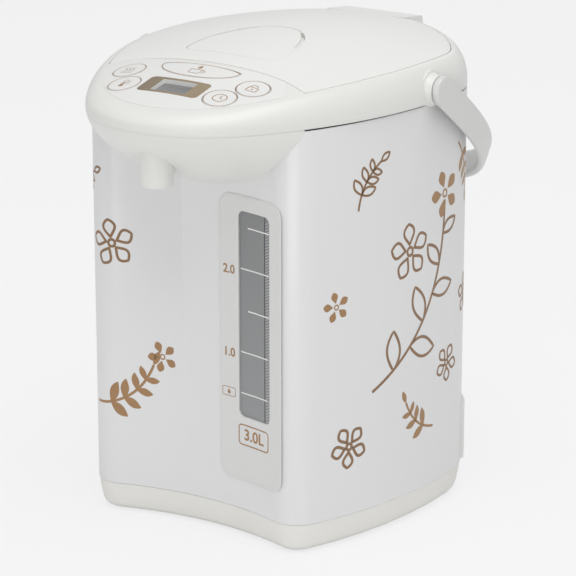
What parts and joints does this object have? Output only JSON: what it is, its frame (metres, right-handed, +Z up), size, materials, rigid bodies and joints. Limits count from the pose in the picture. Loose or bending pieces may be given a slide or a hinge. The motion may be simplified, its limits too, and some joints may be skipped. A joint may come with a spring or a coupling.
{
  "type": "electric thermo pot",
  "caption": "Electric thermo pot: painted shell on a moulded base, domed hinged lid with a lift lever, tilted key deck, spout chin with nozzle, level gauge window and swinging bail.",
  "frame": {"origin": "on the table, at the middle of the footprint box of the whole pot with its handle hanging behind", "axes": "+Z up from the table, -Y towards the spout and the key deck, +X to the right of someone who faces the spout from behind the pot; rest pose has the lid shut, the lever down and the handle hanging behind"},
  "size_m": [0.219, 0.2784, 0.2926],
  "materials": {
    "body_plastic": "warm white, smooth satin gloss",
    "lid_plastic": "warm white, smooth satin gloss",
    "shell_paint": "white baked paint, soft gloss, printed pattern in bronze",
    "base_plastic": "light warm grey, satin",
    "gauge_plate": "light grey, satin",
    "clear": "clear smoked plastic",
    "clear_tube": "clear",
    "inner_plastic": "grey, moulded",
    "panel_film": "white printed film",
    "bronze": "bronze, satin",
    "display": "dark display glass",
    "key_plastic": "white, bronze ring printed",
    "circuit_board": "green laminate",
    "black_plastic": "black",
    "steel": "bright",
    "coated_steel": "grey non-stick coating",
    "rubber": "soft light grey",
    "copper": "bare"
  },
  "bodies": {
    "pot": {"base_cover": "base_plastic", "rubber_feet": "rubber", "base_screws": "steel", "lower_frame": "inner_plastic", "outer_shell": "shell_paint", "top_housing": "body_plastic", "mouth_frame": "inner_plastic", "spout_cover": "body_plastic", "spout_nozzle": "body_plastic", "spout_pipe": "rubber", "tip_valve_case": "inner_plastic", "gauge_panel": "gauge_plate", "gauge_window": "clear", "gauge_backing": "inner_plastic", "gauge_tube": "clear_tube", "control_sheet": "panel_film", "display_frame": "bronze", "display_module": "display", "control_board": "circuit_board", "key_switches": "black_plastic", "hinge_pin": "steel", "inner_container": "coated_steel", "mouth_ring": "rubber", "base_heater": "steel", "band_heater": "steel", "thermistor": "copper", "insulation_jacket": "inner_plastic", "pump_case": "inner_plastic", "motor": "steel", "inlet_hose": "rubber", "outlet_elbow": "rubber", "power_board": "circuit_board", "plug_receptacle": "body_plastic", "receptacle_pins": "steel"},
    "lid": {"lid_cover": "lid_plastic", "inner_lid": "inner_plastic", "lid_gasket": "rubber", "steam_vent": "inner_plastic", "lever_pin": "steel", "lever_spring": "steel", "hinge_cover": "lid_plastic"},
    "lever": {"lid_lever": "lid_plastic"},
    "latch": {"latch_slide": "inner_plastic"},
    "bail": {"handle": "body_plastic", "handle_clips": "steel"},
    "valve_ball": {"tip_valve_ball": "steel"},
    "impeller": {"pump_impeller": "key_plastic"},
    "rotor": {"motor_rotor": "black_plastic"},
    "dispense": {"dispense_key": "key_plastic"},
    "unlock": {"unlock_key": "key_plastic"},
    "timer": {"timer_key": "key_plastic"},
    "reboil": {"reboil_key": "key_plastic"},
    "temperature": {"temperature_key": "key_plastic"}
  },
  "joints": [
    {"name": "lid_hinge", "type": "hinge", "parent": "pot", "child": "lid", "pos_m": [0, 0.1088, 0.276], "axis": [-1, 0, 0], "range_deg": [0, 80]},
    {"name": "lever_hinge", "type": "hinge", "parent": "lid", "child": "lever", "pos_m": [0, -0.0442, 0.2844], "axis": [1, 0, 0], "range_deg": [0, 14], "stiffness_Nm_per_rad": 0.15, "springref_deg": -11.46},
    {"name": "latch_travel", "type": "slide", "parent": "lid", "child": "latch", "axis": [0, 1, 0], "range_m": [0, 0.00305]},
    {"name": "bail_hinge", "type": "hinge", "parent": "pot", "child": "bail", "pos_m": [0, 0.0178, 0.266], "axis": [1, 0, 0], "range_deg": [0, 130]},
    {"name": "rotor_spin", "type": "hinge", "parent": "pot", "child": "rotor", "pos_m": [0.018, -0.0202, 0.026], "axis": [0, 0, 1], "continuous": true},
    {"name": "impeller_spin", "type": "hinge", "parent": "pot", "child": "impeller", "pos_m": [0.018, -0.0202, 0.035], "axis": [0, 0, 1], "continuous": true},
    {"name": "ball_lift", "type": "slide", "parent": "pot", "child": "valve_ball", "axis": [0, 0, 1], "range_m": [0, 0.0027]},
    {"name": "dispense_press", "type": "slide", "parent": "pot", "child": "dispense", "axis": [0, 0.2079, -0.9781], "range_m": [0, 0.0005], "stiffness_N_per_m": 1500},
    {"name": "unlock_press", "type": "slide", "parent": "pot", "child": "unlock", "axis": [0, 0.2079, -0.9781], "range_m": [0, 0.0005], "stiffness_N_per_m": 1500},
    {"name": "timer_press", "type": "slide", "parent": "pot", "child": "timer", "axis": [0, 0.2079, -0.9781], "range_m": [0, 0.0005], "stiffness_N_per_m": 1500},
    {"name": "reboil_press", "type": "slide", "parent": "pot", "child": "reboil", "axis": [0, 0.2079, -0.9781], "range_m": [0, 0.0005], "stiffness_N_per_m": 1500},
    {"name": "temperature_press", "type": "slide", "parent": "pot", "child": "temperature", "axis": [0, 0.2079, -0.9781], "range_m": [0, 0.0005], "stiffness_N_per_m": 1500}
  ],
  "couplings": [
    {"joint": "latch_travel", "follows": "lever_hinge", "m_per_rad": 0.0122},
    {"joint": "impeller_spin", "follows": "rotor_spin", "ratio": 1}
  ]
}
